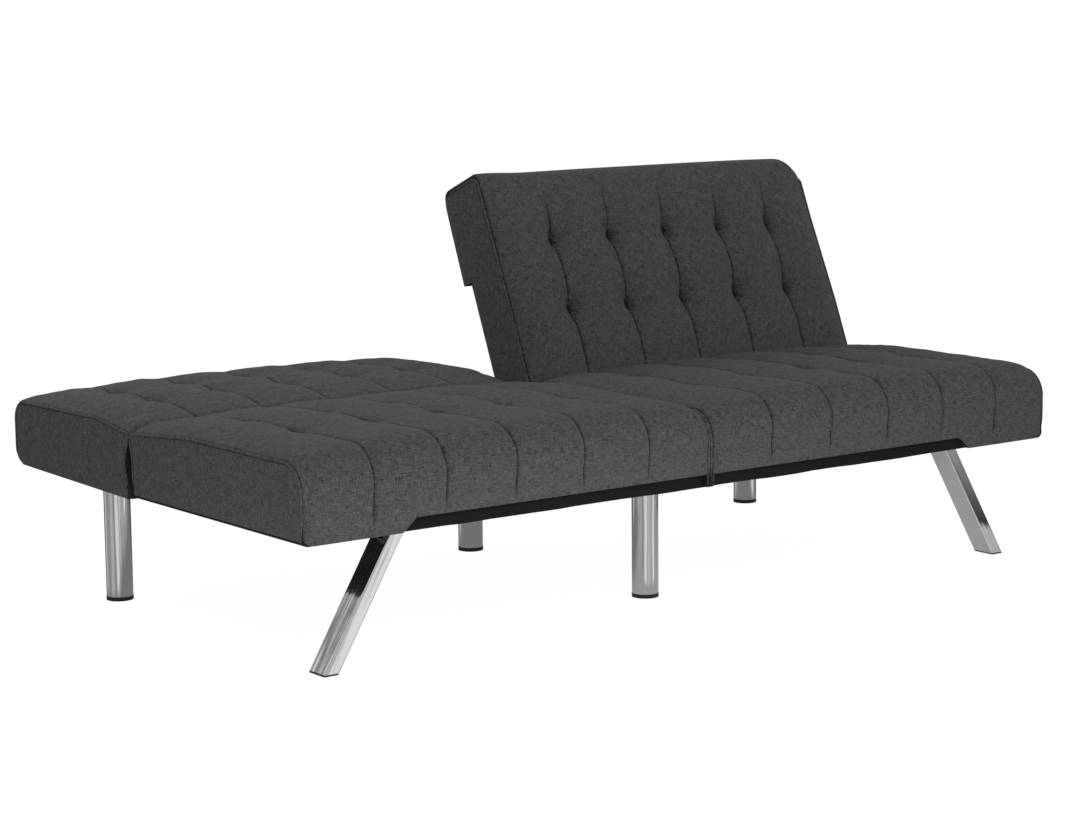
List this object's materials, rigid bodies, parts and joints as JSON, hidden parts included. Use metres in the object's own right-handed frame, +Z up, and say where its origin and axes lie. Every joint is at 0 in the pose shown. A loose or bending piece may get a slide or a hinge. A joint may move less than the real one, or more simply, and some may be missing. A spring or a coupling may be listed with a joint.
{
  "type": "futon sofa bed",
  "caption": "Armless click-clack sofa bed with two tufted seat modules, two independently folding backs and chrome legs.",
  "frame": {"origin": "on the floor under the middle of the sofa bed's overall box", "axes": "+X along the width towards the raised back's side, +Y from the seat's front to the rear, +Z up"},
  "size_m": [1.74, 1.04, 0.7623],
  "materials": {
    "linen": "charcoal heather linen weave, matt",
    "black_cloth": "black spun-bonded lining cloth",
    "timber": "sawn pine, unfinished",
    "plywood": "birch plywood, unfinished",
    "chrome": "polished chrome plate",
    "zinc_steel": "zinc plated pressed steel",
    "spring_steel": "oiled spring wire",
    "black_plastic": "moulded black glide"
  },
  "bodies": {
    "base": {"base_front_rail": "timber", "base_rear_rail": "timber", "base_left_rail": "timber", "base_right_rail": "timber", "base_centre_rail": "timber", "base_cross_rails": "timber", "base_dust_cover": "black_cloth", "base_rear_cover": "black_cloth", "front_band": "black_cloth", "left_front_leg": "chrome", "right_front_leg": "chrome", "centre_front_leg": "chrome", "left_rear_leg": "chrome", "centre_rear_leg": "chrome", "right_rear_leg": "chrome", "round_leg_plates": "zinc_steel", "angled_leg_plates": "zinc_steel", "leg_glides": "black_plastic", "angled_leg_caps": "black_plastic", "leg_studs": "zinc_steel", "angled_leg_screws": "zinc_steel", "left_seat_cushion": "linen", "left_seat_front_rail": "timber", "left_seat_rear_rail": "timber", "left_seat_side_rails": "timber", "left_seat_slats": "plywood", "right_seat_cushion": "linen", "right_seat_front_rail": "timber", "right_seat_rear_rail": "timber", "right_seat_side_rails": "timber", "right_seat_slats": "plywood", "seat_fixing_screws": "zinc_steel", "left_hinge_seat_arms": "zinc_steel", "right_hinge_seat_arms": "zinc_steel", "hinge_pins": "zinc_steel", "pawl_pins": "zinc_steel", "pawl_springs": "spring_steel", "seat_hinge_screws": "zinc_steel"},
    "left_back": {"left_back_cushion": "linen", "left_back_top_rail": "timber", "left_back_bottom_rail": "timber", "left_back_stiles": "timber", "left_back_slats": "plywood", "left_back_dust_cover": "black_cloth", "left_hinge_back_arms": "zinc_steel", "left_back_hinge_screws": "zinc_steel"},
    "right_back": {"right_back_cushion": "linen", "right_back_top_rail": "timber", "right_back_bottom_rail": "timber", "right_back_stiles": "timber", "right_back_slats": "plywood", "right_back_dust_cover": "black_cloth", "right_hinge_back_arms": "zinc_steel", "right_back_hinge_screws": "zinc_steel"},
    "left_pawls": {"left_pawls": "zinc_steel"},
    "right_pawls": {"right_pawls": "zinc_steel"}
  },
  "joints": [
    {"name": "left_back_recline", "type": "hinge", "parent": "base", "child": "left_back", "pos_m": [0, 0.057, 0.33], "axis": [1, 0, 0], "range_deg": [0, 77.5]},
    {"name": "right_back_recline", "type": "hinge", "parent": "base", "child": "right_back", "pos_m": [0, 0.057, 0.33], "axis": [1, 0, 0], "range_deg": [-67.5, 10]},
    {"name": "left_pawl_lift", "type": "hinge", "parent": "base", "child": "left_pawls", "pos_m": [0, 0.045, 0.299], "axis": [1, 0, 0], "range_deg": [0, 12], "stiffness_Nm_per_rad": 0.05},
    {"name": "right_pawl_lift", "type": "hinge", "parent": "base", "child": "right_pawls", "pos_m": [0, 0.045, 0.299], "axis": [1, 0, 0], "range_deg": [0, 12], "stiffness_Nm_per_rad": 0.05}
  ]
}
